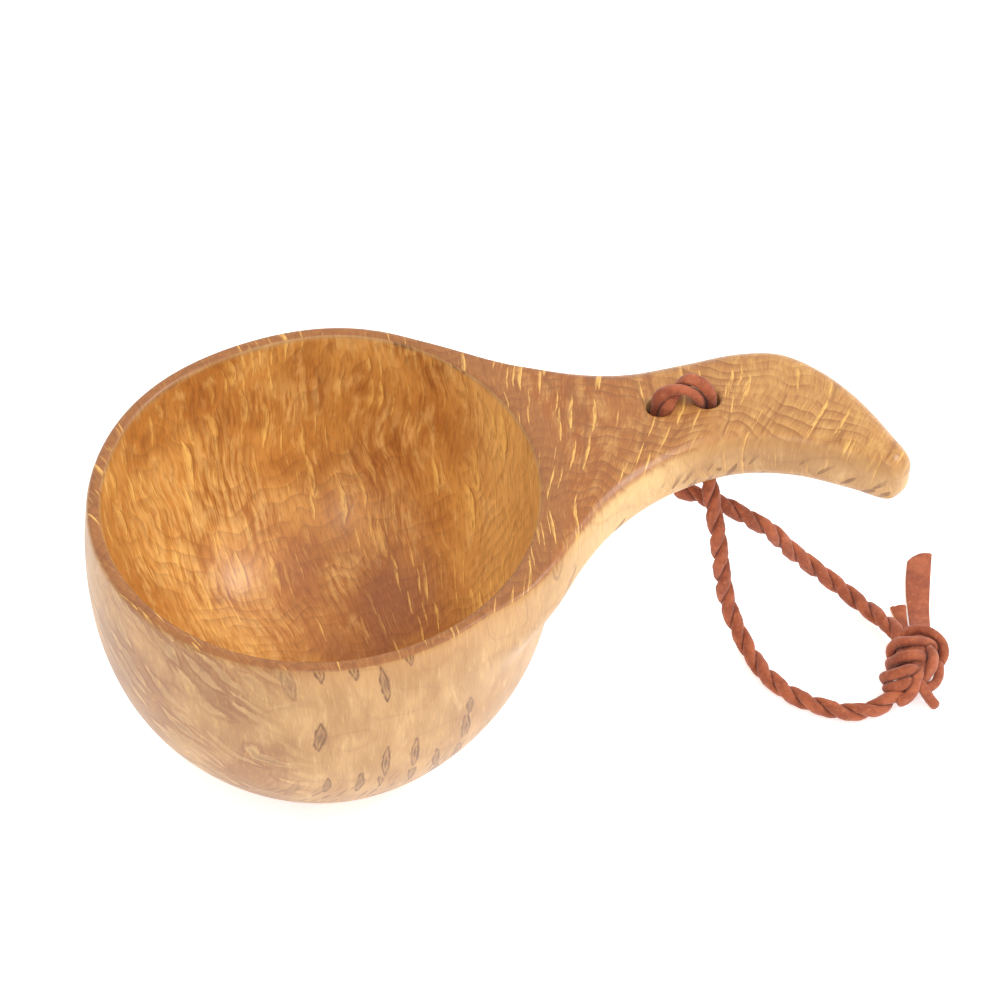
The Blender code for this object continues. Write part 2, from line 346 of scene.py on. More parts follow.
# Colours, linear
AMBER = (0.710, 0.340, 0.080)
AMBER_DARK = (0.520, 0.205, 0.040)
AMBER_PALE = (0.900, 0.560, 0.190)
FLOOR_BROWN = (0.400, 0.150, 0.048)
BURNT = (0.270, 0.090, 0.024)
TOP_ROOT = (0.345, 0.112, 0.026)
TOP_TIP = (0.490, 0.235, 0.072)
RIM_BROWN = (0.345, 0.130, 0.036)
CREAM = (0.530, 0.305, 0.122)
CREAM_DARK = (0.400, 0.210, 0.074)
CREAM_PALE = (0.700, 0.455, 0.205)
RING_BROWN = (0.240, 0.085, 0.026)
MARK_BROWN = (0.130, 0.046, 0.017)
MARK_DARK = (0.075, 0.028, 0.013)
FLAME_TOP = (0.860, 0.490, 0.130)
FLAME_INSIDE = (0.950, 0.590, 0.160)
LEATHER = (0.400, 0.104, 0.040)
LEATHER_DARK = (0.270, 0.062, 0.024)
LEATHER_SCUFFED = (0.540, 0.190, 0.095)
# deep brown, for random dark patches and for the painted shade between pressed plies
LEATHER_DARK_PATCH_AND_SHADE = (0.120, 0.026, 0.011)
LEATHER_CUT = (0.620, 0.270, 0.095)
FLOOR_WHITE = (0.930, 0.930, 0.930)


def smooth_line(points, per_span, closed=False):
    """Points of a centripetal Catmull-Rom curve through the given points."""
    points = np.asarray(points, float)
    count = len(points)
    line = []
    for i in range(count if closed else count - 1):
        if closed:
            p = [points[(i + k) % count] for k in (-1, 0, 1, 2)]
        else:
            p = [points[min(max(i + k, 0), count - 1)] for k in (-1, 0, 1, 2)]
        gaps = [max(np.linalg.norm(p[k + 1] - p[k]) ** 0.5, 1e-5) for k in range(3)]
        t0, t1 = 0.0, gaps[0]
        t2 = t1 + gaps[1]
        t3 = t2 + gaps[2]
        for t in np.linspace(t1, t2, per_span, endpoint=False):
            a = ((t1 - t) * p[0] + (t - t0) * p[1]) / (t1 - t0)
            b = ((t2 - t) * p[1] + (t - t1) * p[2]) / (t2 - t1)
            c = ((t3 - t) * p[2] + (t - t2) * p[3]) / (t3 - t2)
            d = ((t2 - t) * a + (t - t0) * b) / (t2 - t0)
            e = ((t3 - t) * b + (t - t1) * c) / (t3 - t1)
            line.append(((t2 - t) * d + (t - t1) * e) / (t2 - t1))
    if not closed:
        line.append(points[-1])
    return np.array(line)


def smooth_step(x, low, high):
    t = np.clip((x - low) / (high - low), 0.0, 1.0)
    return t * t * (3.0 - 2.0 * t)


# ---------------------------------------------------------------- the carved wood


class FlatDistance:
    """Signed distance to a closed outline in a plane, negative inside, read from a fine grid."""

    def __init__(self, outline, low, high):
        self.low = np.array(low, float)
        self.count = np.ceil((np.array(high) - self.low) / TABLE_CELL).astype(int) + 1
        axes = [self.low[i] + TABLE_CELL * np.arange(self.count[i]) for i in range(2)]
        x, y = np.meshgrid(*axes, indexing="ij")
        nearest = np.full(x.shape, np.inf)
        inside = np.zeros(x.shape, bool)
        for (ax, ay), (bx, by) in zip(outline, np.roll(outline, -1, axis=0)):
            dx, dy = bx - ax, by - ay
            span = dx * dx + dy * dy + 1e-18
            t = np.clip(((x - ax) * dx + (y - ay) * dy) / span, 0.0, 1.0)
            nearest = np.minimum(nearest, (x - ax - t * dx) ** 2 + (y - ay - t * dy) ** 2)
            if ay != by:
                crosses = (ay > y) != (by > y)
                inside ^= crosses & (x < dx * (y - ay) / dy + ax)
        self.value = np.where(inside, -1.0, 1.0) * np.sqrt(nearest)

    def __call__(self, a, b):
        u = np.clip((a - self.low[0]) / TABLE_CELL, 0, self.count[0] - 1.001)
        w = np.clip((b - self.low[1]) / TABLE_CELL, 0, self.count[1] - 1.001)
        i, j = u.astype(int), w.astype(int)
        u, w, v = u - i, w - j, self.value
        low = v[i, j] * (1 - u) + v[i + 1, j] * u
        high = v[i, j + 1] * (1 - u) + v[i + 1, j + 1] * u
        return low * (1 - w) + high * w


def profile_outline(profile):
    """A (radius, z) profile closed across the bowl's axis."""
    line = smooth_line(profile, 10)
    return np.vstack([line, [(-0.005, line[-1, 1])], [(-0.005, line[0, 1])]])


def rounded_max(a, b, radius):
    """The intersection of two solids with its edge rounded."""
    outside = np.hypot(np.maximum(a + radius, 0.0), np.maximum(b + radius, 0.0))
    return np.minimum(np.maximum(a, b), -radius) + outside


def smooth_min(a, b, radius):
    """The union of two solids with a fillet between them."""
    h = np.maximum(radius - np.abs(a - b), 0.0) / radius
    return np.minimum(a, b) - h * h * radius / 4


class Wood:
    """Distance to the carved cup's surface, negative inside."""

    def __init__(self):
        self.outside = FlatDistance(profile_outline(BOWL_OUTSIDE), (0, -0.006), (0.13, 0.07))
        self.hollow = FlatDistance(profile_outline(BOWL_HOLLOW), (0, -0.006), (0.13, 0.07))
        outline = smooth_line(HANDLE_OUTLINE, 8, closed=True)
        self.plan = FlatDistance(outline, (-0.052, -0.052), (0.122, 0.052))

    def carved_radius(self, x, y):
        """Distance from the bowl's axis, changed where its wall stands out or in."""
        radius = np.hypot(x, y)
        for degrees, amount in HAND_CARVED:
            near = np.maximum(np.cos(np.arctan2(y, x) - math.radians(degrees)), 0.0)
            radius = radius - amount * near**12
        return radius

    def __call__(self, p):
        x, y, z = p.T
        radius = self.carved_radius(x, y)
        turn = np.arctan2(y, x) - FLAT_SIDE_ANGLE
        side = np.maximum(np.cos(turn), 0.0) ** 4
        low_down = 1 - smooth_step(z, 0.030, 0.058)
        body = self.outside(radius + FLAT_SIDE_DEPTH * side * low_down, z)
        underside = RIM_Z - BOARD_THICKNESS - ROOT_DEPTH * (1 - smooth_step(x, 0.040, 0.056))
        handle = rounded_max(self.plan(x, y), underside - z, LOWER_EDGE)
        body = smooth_min(body, handle, BLEND_RADIUS)
        top = RIM_Z - TIP_DROP * smooth_step(x, 0.085, 0.116)
        edge = RIM_ROUNDING + (TOP_EDGE - RIM_ROUNDING) * smooth_step(x, 0.034, 0.062)
        body = rounded_max(body, z - top, edge)
        body = rounded_max(body, -self.hollow(radius, z), RIM_ROUNDING)
        for hole_x, hole_y in HOLE_CENTRES:
            hole = np.hypot(x - hole_x, y - hole_y) - HOLE_RADIUS
            body = rounded_max(body, -hole, HOLE_MOUTH)
        return body


def surface_nets(distance, low, high, cell):
    """Quads of the zero surface of a distance function on a regular grid."""
    low = np.array(low, float)
    count = np.ceil((np.array(high) - low) / cell).astype(int) + 1
    axes = [low[i] + cell * np.arange(count[i]) for i in range(3)]
    value = np.empty(count)
    for i, x in enumerate(axes[0]):
        grid = np.stack(np.meshgrid([x], axes[1], axes[2], indexing="ij"), -1)
        value[i] = distance(grid.reshape(-1, 3)).reshape(count[1], count[2])
    within = value < 0
    corners = sum(
        within[i : count[0] - 1 + i, j : count[1] - 1 + j, k : count[2] - 1 + k].astype(np.int8)
        for i in (0, 1)
        for j in (0, 1)
        for k in (0, 1)
    )
    crossed = (corners > 0) & (corners < 8)
    number = np.full(crossed.shape, -1)
    number[crossed] = np.arange(crossed.sum())
    total = np.zeros((crossed.sum(), 3))
    hits = np.zeros(crossed.sum())
    quads = []
    for axis in range(3):
        start = tuple(slice(0, -1) if i == axis else slice(None) for i in range(3))
        end = tuple(slice(1, None) if i == axis else slice(None) for i in range(3))
        a, b = value[start], value[end]
        cut = (a < 0) != (b < 0)
        index = np.argwhere(cut)
        point = low + cell * index
        point[:, axis] += cell * a[cut] / (a[cut] - b[cut])
        others = [i for i in range(3) if i != axis]
        around = []
        for du, dv in ((0, 0), (-1, 0), (-1, -1), (0, -1)):
            near = index.copy()
            near[:, others[0]] += du
            near[:, others[1]] += dv
            found = number[tuple(near.T)]
            np.add.at(total, found, point)
            np.add.at(hits, found, 1)
            around.append(found)
        quad = np.stack(around, -1)
        outward = (a[cut] < 0) if axis != 1 else (b[cut] < 0)
        quads.append(np.where(outward[:, None], quad, quad[:, ::-1]))
    return total / hits[:, None], np.concatenate(quads)


def onto_surface(distance, points, rounds=3, step=0.00005):
    """Points moved onto the zero surface along the distance's own slope."""
    for _ in range(rounds):
        slope = np.stack(
            [distance(points + d) - distance(points - d) for d in np.eye(3) * step], -1
        ) / (2 * step)
        steepness = np.maximum((slope * slope).sum(1), 0.25)
        points = points - slope * (distance(points) / steepness)[:, None]
    return points


def add_mesh(name, vertices, faces, material):
    mesh = bpy.data.meshes.new(name)
    mesh.from_pydata(vertices.tolist(), [], faces)
    mesh.polygons.foreach_set("use_smooth", [True] * len(mesh.polygons))
    mesh.materials.append(material)
    mesh.update()
    obj = bpy.data.objects.new(name, mesh)
    bpy.context.scene.collection.objects.link(obj)
    return obj


def carved_cup(material):
    wood = Wood()
    low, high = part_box("cup_body")
    margin = 2.5 * WOOD_CELL
    vertices, faces = surface_nets(
        wood, [c - margin for c in low], [c + margin for c in high], WOOD_CELL
    )
    vertices = onto_surface(wood, vertices)
    vertices[:, 2] = np.maximum(vertices[:, 2], 0.0)
    cup = add_mesh("carved_cup", vertices, faces.tolist(), material)
    x, y, z = vertices.T
    from_hollow = np.abs(wood.hollow(wood.carved_radius(x, y), z))
    inside = (1 - smooth_step(from_hollow, 0.0003, 0.0013)) * (1 - smooth_step(z, 0.0564, 0.0576))
    cup.data.attributes.new("inside", "FLOAT", "POINT").data.foreach_set("value", inside)
    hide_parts("cup_body")
    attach(cup, "cup")
    return cup


# ---------------------------------------------------------------- the lanyard


def evenly(line, step):
    """The line resampled at an even step, as (points, lengths along it)."""
    line = np.asarray(line)
    lengths = np.concatenate([[0.0], np.cumsum(np.linalg.norm(np.diff(line, axis=0), axis=1))])
    at = np.linspace(0.0, lengths[-1], max(4, int(round(lengths[-1] / step)) + 1))
    return np.stack([np.interp(at, lengths, line[:, i]) for i in range(3)], -1), at


def carried_frames(line):
    """Unit tangents, normals and sideways directions along a line, carried with no twist."""
    tangents = np.gradient(line, axis=0)
    tangents /= np.linalg.norm(tangents, axis=1)[:, None]
    start = np.array((1.0, 0.0, 0.0))
    normal = start - tangents[0] * np.dot(start, tangents[0])
    normals = []
    for tangent in tangents:
        normal = normal - tangent * np.dot(normal, tangent)
        normal = normal / np.linalg.norm(normal)
        normals.append(normal)
    normals = np.array(normals)
    return tangents, normals, np.cross(tangents, normals)


def hide_wrinkles(seed, at, around):
    """Unevenness of a leather ply, as a share of its size, along and around it."""
    rng = np.random.default_rng(seed)
    bumps = np.zeros(np.broadcast(at, around).shape)
    for scale, strength in ((0.006, 0.05), (0.0025, 0.035), (0.0011, 0.025)):
        for _ in range(5):
            turns = rng.integers(0, 4)
            phase = rng.uniform(0, 2 * math.pi, 2)
            pace = 2 * math.pi / (scale * rng.uniform(0.7, 1.4))
            bumps += strength * np.sin(at * pace + phase[0]) * np.cos(around * turns + phase[1]) / 3
    return bumps


def ply(line, wide, thick, facing, seed, sides=16):
    """One leather ply swept along a line: an uneven oval, its wide axis along facing."""
    tangents = np.gradient(line, axis=0)
    tangents /= np.linalg.norm(tangents, axis=1)[:, None]
    across = facing - tangents * (facing * tangents).sum(1)[:, None]
    across /= np.linalg.norm(across, axis=1)[:, None]
    out = np.cross(tangents, across)
    at = np.concatenate([[0.0], np.cumsum(np.linalg.norm(np.diff(line, axis=0), axis=1))])
    around = np.linspace(0, 2 * math.pi, sides, endpoint=False)
    wide = np.broadcast_to(wide, at.shape)[:, None]
    thick = np.broadcast_to(thick, at.shape)[:, None]
    size = 1 + hide_wrinkles(seed, at[:, None], around[None, :])
    power = 0.82  # under 1 squares the oval a little, as a cut lace is
    a = np.sign(np.cos(around)) * np.abs(np.cos(around)) ** power
    b = np.sign(np.sin(around)) * np.abs(np.sin(around)) ** power
    taper = np.ones(len(at))
    for distance in (at, at[-1] - at):
        near = np.clip(distance / PLY_ROUND_END, 0, 1)
        taper = np.minimum(taper, np.sqrt(1 - (1 - near) ** 2) * 0.98 + 0.02)
    ring = (
        line[:, None, :]
        + across[:, None, :] * (wide * a * size * taper[:, None])[..., None]
        + out[:, None, :] * (thick * b * size * taper[:, None])[..., None]
    )
    count = len(line)
    vertices = ring.reshape(-1, 3)
    i = np.arange(count - 1)[:, None] * sides
    j = np.arange(sides)
    k = (j + 1) % sides
    faces = np.stack([i + j, i + k, i + sides + k, i + sides + j], -1).reshape(-1, 4)
    faces = faces.tolist()
    faces.append(list(range(sides))[::-1])
    faces.append(list(range((count - 1) * sides, count * sides)))
    return vertices, faces


def joined(parts):
    """Several (vertices, faces) as one."""
    vertices, faces, base = [], [], 0
    for points, polygons in parts:
        vertices.append(points)
        faces += [[base + i for i in polygon] for polygon in polygons]
        base += len(points)
    return np.concatenate(vertices), faces


def mark_fold_shade(obj, parts, lines):
    """A point attribute, "fold": 1 where a ply is pressed against another one, the amount of painted
    shade put there.
    """
    fold_shade_per_part = []
    for number, (points, _) in enumerate(parts):
        others = np.concatenate([line[::3] for i, line in enumerate(lines) if i != number])
        gap = np.full(len(points), np.inf)
        for other in others:
            gap = np.minimum(gap, np.linalg.norm(points - other, axis=1))
        fold_shade_per_part.append(1 - smooth_step(gap, FOLD_SHADE_NEAR, FOLD_SHADE_FAR))
    obj.data.attributes.new("fold", "FLOAT", "POINT").data.foreach_set("value", np.concatenate(fold_shade_per_part))


def twisted_lace(name, route, phase, seed, material):
    """Two plies twisted round each other along a route."""
    line, at = evenly(smooth_line(route, 14), 0.00035)
    _, normals, sideways = carried_frames(line)
    parts, lines = [], []
    for side in (0, 1):
        angle = (2 * math.pi * at / TWIST_PITCH + phase + side * math.pi)[:, None]
        out = normals * np.cos(angle) + sideways * np.sin(angle)
        around = -normals * np.sin(angle) + sideways * np.cos(angle)
        lines.append(line + out * PLY_OFFSET)
        parts.append(ply(lines[-1], PLY_WIDE, PLY_THICK, around, seed + side))
    vertices, faces = joined(parts)
    lace = add_mesh(name, vertices, faces, material)
    mark_fold_shade(lace, parts, lines)
    return lace, line


def bridge(material):
    """The loose two-ply lace over the handle."""
    parts, lines = [], []
    for number, route in enumerate((BRIDGE_FRONT_PLY, BRIDGE_BACK_PLY)):
        line, at = evenly(smooth_line(route, 14), 0.0003)
        _, normals, sideways = carried_frames(line)
        angle = (2 * math.pi * at / (2 * TWIST_PITCH) + number)[:, None]
        facing = normals * np.cos(angle) + sideways * np.sin(angle)
        parts.append(ply(line, LOOSE_PLY_WIDE, LOOSE_PLY_THICK, facing, 11 + number))
        lines.append(line)
    vertices, faces = joined(parts)
    lace = add_mesh("bridge_lace", vertices, faces, material)
    mark_fold_shade(lace, parts, lines)
    return lace


def strand_lying_on(centre, route, wide, thick, seed):
    """A ply whose wide face lies on a lump with the given centre."""
    line, _ = evenly(smooth_line(route, 12), 0.0002)
    tangents = np.gradient(line, axis=0)
    facing = np.cross(tangents, line - np.array(centre))
    return ply(line, wide, thick, facing, seed, sides=20), line


def knot_core():
    """The unseen middle of the knot, an uneven ball."""
    rings, sides = 14, 22
    rows = []
    for i in range(1, rings):
        down = math.pi * i / rings
        for k in range(sides):
            turn = 2 * math.pi * k / sides
            way = (math.sin(down) * math.cos(turn), math.sin(down) * math.sin(turn), math.cos(down))
            rows.append([c + h * w for c, h, w in zip(KNOT_CENTRE, KNOT_CORE, way)])
    faces = []
    for i in range(rings - 2):
        for k in range(sides):
            a, b = i * sides + k, i * sides + (k + 1) % sides
            faces.append([a, a + sides, b + sides, b])
    faces.append(list(range(sides)))
    faces.append(list(range((rings - 2) * sides, (rings - 1) * sides))[::-1])
    return np.array(rows), faces


def tied_knot(material):
    parts, lines = [knot_core()], [np.array([KNOT_CENTRE])]
    for number, route in enumerate(KNOT_STRANDS):
        part, line = strand_lying_on(KNOT_CENTRE, route, KNOT_PLY_WIDE, KNOT_PLY_THICK, 31 + number)
        parts.append(part)
        lines.append(line)
    vertices, faces = joined(parts)
    vertices[:, 2] = np.maximum(vertices[:, 2], LEAST_HEIGHT)
    knot = add_mesh("tied_knot", vertices, faces, material)
    mark_fold_shade(knot, parts, lines)
    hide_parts("knot")
    return knot


def thin_end(material):
    line, _ = evenly(smooth_line(THIN_TAIL_ROUTE, 12), 0.0002)
    facing = np.tile((0.8, 0.6, 0.0), (len(line), 1))
    vertices, faces = ply(line, THIN_TAIL_WIDE, THIN_TAIL_THICK, facing, 47, sides=20)
    vertices[:, 2] = np.maximum(vertices[:, 2], LEAST_HEIGHT)
    tail = add_mesh("thin_end", vertices, faces, material)
    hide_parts("thin_tail")
    return tail


def flat_end(name, node, shape, rise, ragged, seed, material):
    """A flat strip of leather between two edges, its outer end cut across, lying on the table."""
    left, right, cut = shape
    rows, sides = 90, 40
    rng = np.random.default_rng(seed)
    a = smooth_line([(*p, 0.0) for p in left], 20)
    b = smooth_line([(*p, 0.0) for p in right], 20)
    a, b = (evenly(line, length_of(line) / (rows - 1))[0][:rows] for line in (a, b))
    turn = np.linspace(0, 2 * math.pi, sides, endpoint=False)
    power = 0.38
    w = 0.5 + 0.5 * np.sign(np.cos(turn)) * np.abs(np.cos(turn)) ** power
    up = np.sign(np.sin(turn)) * np.abs(np.sin(turn)) ** power
    tears = np.interp(w, np.linspace(0, 1, 12), rng.uniform(-1, 1, 12)) * ragged
    points = []
    for i in range(rows):
        t = i / (rows - 1)
        near_end = smooth_step(t, 0.55, 1.0)
        across = b[i] - a[i]
        base = a[i] + np.outer(w, across)
        base[:, 1] += near_end * (4 * cut * w * (1 - w) + tears)
        lift = rise * (1 - smooth_step(t, 0.0, 0.45)) + 0.00012 * math.sin(9 * t + seed)
        curl = 0.00016 * (w - 0.5) * math.sin(5 * t + seed)
        shrink = 1.0 if i < rows - 1 else 0.86
        base[:, 2] = STRIP_THICKNESS * (0.5 + 0.46 * up * shrink) + 0.0003 + lift + curl
        points.append(base)
    vertices = np.concatenate(points)
    faces = []
    for i in range(rows - 1):
        for k in range(sides):
            p, q = i * sides + k, i * sides + (k + 1) % sides
            faces.append([p, q, q + sides, p + sides])
    faces.append(list(range(sides))[::-1])
    faces.append(list(range((rows - 1) * sides, rows * sides)))
    strip = add_mesh(name, vertices, faces, material)
    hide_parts(node)
    return strip


def whole_route(route, end):
    """A leg's route with its start carried up into the hole and its end into the knot."""
    x, y, _ = route[0]
    return ((x, y, HOLE_SEAM_Z), (x, y, 0.0460)) + tuple(route) + tuple(end)


def length_of(line):
    return float(np.linalg.norm(np.diff(line, axis=0), axis=1).sum())


# ---------------------------------------------------------------- materials


class Shade:
    """A material written as expressions: each method adds one node and returns its output."""

    def __init__(self, name):
        self.material = bpy.data.materials.new(name)
        self.material.use_nodes = True
        self.tree = self.material.node_tree
        self.shader = self.tree.nodes["Principled BSDF"]

    def node(self, kind, inputs, **settings):
        made = self.tree.nodes.new(kind)
        for key, value in settings.items():
            setattr(made, key, value)
        for key, value in inputs.items():
            if isinstance(value, bpy.types.NodeSocket):
                self.tree.links.new(value, made.inputs[key])
            else:
                made.inputs[key].default_value = value
        return made

    def math(self, operation, *values, clamp=False):
        inputs = dict(enumerate(values))
        return self.node("ShaderNodeMath", inputs, operation=operation, use_clamp=clamp).outputs[0]

    def add(self, a, b):
        return self.math("ADD", a, b)

    def times(self, a, b):
        return self.math("MULTIPLY", a, b)

    def less(self, a, b):
        return self.math("SUBTRACT", a, b)

    def inverse(self, a):
        return self.math("SUBTRACT", 1.0, a, clamp=True)

    def step(self, value, low, high):
        """0 below low, 1 above high, smooth between; low may be the larger."""
        flip = low > high
        low, high = min(low, high), max(low, high)
        inputs = {"Value": value, "From Min": low, "From Max": high}
        inputs["To Min"], inputs["To Max"] = (1.0, 0.0) if flip else (0.0, 1.0)
        made = self.node("ShaderNodeMapRange", inputs, interpolation_type="SMOOTHSTEP")
        return made.outputs["Result"]

    def combine(self, x, y, z):
        return self.node("ShaderNodeCombineXYZ", {0: x, 1: y, 2: z}).outputs[0]

    def split(self, vector):
        return self.node("ShaderNodeSeparateXYZ", {0: vector}).outputs

    def scaled(self, parts, sizes, shift=(0.0, 0.0, 0.0)):
        """A vector of lengths divided by feature sizes."""
        return self.combine(*(self.add(self.times(p, 1 / s), o) for p, s, o in zip(parts, sizes, shift)))

    def noise(self, vector, detail=2.0, roughness=0.5):
        inputs = {"Vector": vector, "Scale": 1.0, "Detail": detail}
        inputs["Roughness"] = roughness
        return self.node("ShaderNodeTexNoise", inputs).outputs["Fac"]

    def cells(self, vector, feature="F1"):
        inputs = {"Vector": vector, "Scale": 1.0}
        return self.node("ShaderNodeTexVoronoi", inputs, feature=feature).outputs

    def mix(self, amount, a, b):
        made = self.node("ShaderNodeMix", {"Factor": amount}, data_type="RGBA")
        for key, value in (("A", a), ("B", b)):
            socket = [i for i in made.inputs if i.name == key and i.type == "RGBA"][0]
            if isinstance(value, bpy.types.NodeSocket):
                self.tree.links.new(value, socket)
            else:
                socket.default_value = (*value, 1.0)
        return [o for o in made.outputs if o.type == "RGBA"][0]

    def bump(self, height, distance, strength):
        inputs = {"Height": height, "Distance": distance, "Strength": strength}
        made = self.node("ShaderNodeBump", inputs)
        self.tree.links.new(made.outputs["Normal"], self.shader.inputs["Normal"])

    def finish(self, colour, roughness):
        self.tree.links.new(colour, self.shader.inputs["Base Color"])
        self.tree.links.new(roughness, self.shader.inputs["Roughness"])
        return self.material


def burl_birch():
    """Curly birch as one solid block: rings round a distant pith, creased by eyes and flames."""
    s = Shade("burl_birch")
    s.shader.inputs["Specular IOR Level"].default_value = 0.4
    coordinates = s.node("ShaderNodeTexCoord", {}).outputs
    x, y, z = (s.times(c, 1000.0) for c in s.split(coordinates["Object"]))
    normal_z = s.split(coordinates["Normal"])[2]

    # millimetres across the grain (round the pith), out from the pith, and up
    dx = s.less(x, PITH[0])
    dy = s.less(y, PITH[1])
    out = s.math("SQRT", s.add(s.times(dx, dx), s.times(dy, dy)))
    across = s.times(s.math("ARCTAN2", dx, dy), PITH_DISTANCE)
    sway = s.less(s.noise(s.scaled((across, out, z), (26, 24, 28)), 1), 0.5)
    wander = s.less(s.noise(s.scaled((across, out, z), (8, 6, 7), (7, 3, 1)), 1), 0.5)
    u = s.add(across, s.add(s.times(sway, 7.0), s.times(wander, 0.9)))

    # where on the cup: its hollow, its top, its rim, its pale outside and its handle
    inside = s.node("ShaderNodeAttribute", {}, attribute_name="inside").outputs["Fac"]
    top = s.times(s.step(normal_z, 0.45, 0.95), s.inverse(inside))
    from_axis = s.math("SQRT", s.add(s.times(x, x), s.times(y, y)))
    rim = s.times(s.step(z, 55.6, 57.4), s.step(from_axis, 49.5, 47.0))
    skin = s.times(s.inverse(inside), s.inverse(top))
    handle = s.step(x, 38.0, 56.0)

    # growth rings, arched between the borders of long cells
    crease = s.cells(s.scaled((u, out, z), (7.0, 44.0, 46.0)), "DISTANCE_TO_EDGE")["Distance"]
    crease_mm = s.times(crease, 7.0)
    arch = s.times(s.step(crease_mm, 0.0, 2.8), 1.4)
    swell = s.less(s.noise(s.scaled((across, out, z), (15, 34, 19), (3, 8, 5)), 2, 0.45), 0.5)
    ring = s.add(s.less(out, arch), s.add(s.times(swell, 15.0), s.times(wander, 1.2)))
    ring = s.math("FRACT", s.times(ring, 1 / 2.5))
    ring_end = s.step(ring, 1.0, 0.94)
    ring_line = s.times(s.step(ring, 0.72, 0.95), ring_end)
    ring_shade = s.times(s.step(ring, 0.05, 0.95), ring_end)
    ring_depth = s.step(s.noise(s.scaled((u, out, z), (9, 7, 9), (1, 5, 2)), 1), 0.36, 0.62)
    ring_shade = s.times(ring_shade, s.add(0.25, s.times(ring_depth, 0.75)))
    ring_line = s.times(ring_line, ring_depth)
    broken = s.noise(s.scaled((u, out, z), (4.0, 5.5, 6.0), (2, 9, 4)), 1)
    crease_line = s.times(s.step(crease_mm, 0.40, 0.05), s.step(broken, 0.58, 0.44))

    # flames: bright strokes, soft on one side and dark on the other, in three sizes
    broad, broad_side = flames(s, u, out, z, (5.2, 10.0, 12.0), 0.85, 0.45)
    flame, flame_side = flames(s, u, out, z, (3.4, 10.5, 11.0), 0.40, 0.55)
    thin, thin_side = flames(s, u, out, z, (1.9, 8.0, 9.0), 0.22, 0.50)

    # fibre and mottling
    fibre = s.noise(s.scaled((u, out, z), (0.32, 2.4, 2.8)), 2, 0.6)
    hair = s.noise(s.scaled((u, out, z), (0.75, 7.0, 8.0), (3, 1, 9)), 2, 0.6)
    curl = s.noise(s.scaled((u, out, z), (1.9, 6.0, 7.0), (5, 2, 8)), 3, 0.6)
    cloud = s.noise(s.scaled((across, out, z), (9, 14, 16), (4, 4, 4)), 2, 0.5)
    patch = s.noise(s.scaled((across, out, z), (22, 26, 24), (9, 1, 6)), 1, 0.5)

    # the hollow: amber, with pale feathered patches, and browner at the bottom
    amber = s.mix(s.step(cloud, 0.34, 0.66), AMBER_DARK, AMBER)
    feather = s.times(s.step(patch, 0.46, 0.66), s.step(hair, 0.40, 0.62))
    amber = s.mix(s.times(s.step(curl, 0.52, 0.72), 0.65), amber, AMBER_PALE)
    amber = s.mix(s.times(feather, 0.70), amber, AMBER_PALE)
    burnt = s.times(s.step(curl, 0.48, 0.30), s.step(cloud, 0.56, 0.38))
    amber = s.mix(s.times(burnt, 0.45), amber, BURNT)
    amber = s.mix(s.times(s.step(z, 20.0, 10.5), s.step(patch, 0.60, 0.38)), amber, FLOOR_BROWN)
    # paler along the right wall: partly a pale band in the wood, partly painted light on the wall that
    # the key light leaves in shade
    amber = s.mix(s.times(s.step(x, 22.0, 36.0), 0.55), amber, AMBER_PALE)

    # the top: browner end grain, paler towards the tip; the rim browner still
    board = s.mix(s.step(x, 45.0, 95.0), TOP_ROOT, TOP_TIP)
    board = s.mix(s.times(s.step(curl, 0.42, 0.70), 0.25), board, AMBER_PALE)
    board = s.mix(rim, board, RIM_BROWN)

    # the outside: pale and creamy, browner towards the rim
    cream = s.mix(s.step(cloud, 0.30, 0.70), CREAM_DARK, CREAM)
    cream = s.mix(s.times(s.step(curl, 0.52, 0.74), 0.40), cream, CREAM_PALE)
    cream = s.mix(s.times(s.step(z, 50.0, 58.0), 0.40), cream, TOP_TIP)
    cream = s.mix(s.times(handle, s.times(s.step(x, 78.0, 62.0), 0.9)), cream, CREAM_PALE)

    colour = s.mix(s.step(top, 0.10, 0.90), cream, board)
    colour = s.mix(inside, colour, amber)

    # rings, creases and flames, weak where the skin cuts along them
    strength = s.add(s.add(s.times(top, 0.50), s.times(inside, 0.22)), s.times(skin, 0.06))
    colour = s.mix(s.times(ring_shade, strength), colour, RING_BROWN)
    strength = s.add(s.times(top, 0.42), s.times(inside, 0.14))
    colour = s.mix(s.times(ring_line, strength), colour, RING_BROWN)
    colour = s.mix(s.times(s.times(crease_line, top), 0.55), colour, RING_BROWN)
    grained = s.inverse(s.times(skin, s.less(0.92, s.times(handle, 0.35))))
    side = s.math("MAXIMUM", s.math("MAXIMUM", flame_side, thin_side), s.times(broad_side, inside))
    side = s.times(side, s.math("MAXIMUM", grained, s.times(handle, 0.75)))
    colour = s.mix(s.times(side, 0.62), colour, BURNT)
    bright = s.math("MAXIMUM", s.math("MAXIMUM", flame, thin), s.times(broad, inside))
    streaked = s.add(0.40, s.times(s.step(fibre, 0.35, 0.60), 0.60))
    bright = s.times(s.times(bright, streaked), s.times(grained, 0.90))
    in_bunches = s.add(0.35, s.times(s.step(cloud, 0.42, 0.56), 0.65))
    on_creases = s.add(0.30, s.times(s.step(crease_mm, 2.4, 0.8), 0.70))
    bright = s.times(bright, s.add(s.times(inside, in_bunches), s.times(s.inverse(inside), on_creases)))
    colour = s.mix(bright, colour, s.mix(inside, FLAME_TOP, FLAME_INSIDE))
    colour = skin_figure(s, colour, (x, y, z), (u, out), skin, handle)
    fibre_strength = s.less(0.34, s.times(skin, 0.16))
    colour = s.mix(s.times(s.step(fibre, 0.52, 0.30), fibre_strength), colour, RING_BROWN)
    colour = s.mix(s.times(s.step(fibre, 0.55, 0.75), 0.20), colour, FLAME_TOP)
    hair_strength = s.less(0.30, s.times(skin, 0.18))
    colour = s.mix(s.times(s.step(hair, 0.46, 0.28), hair_strength), colour, RING_BROWN)

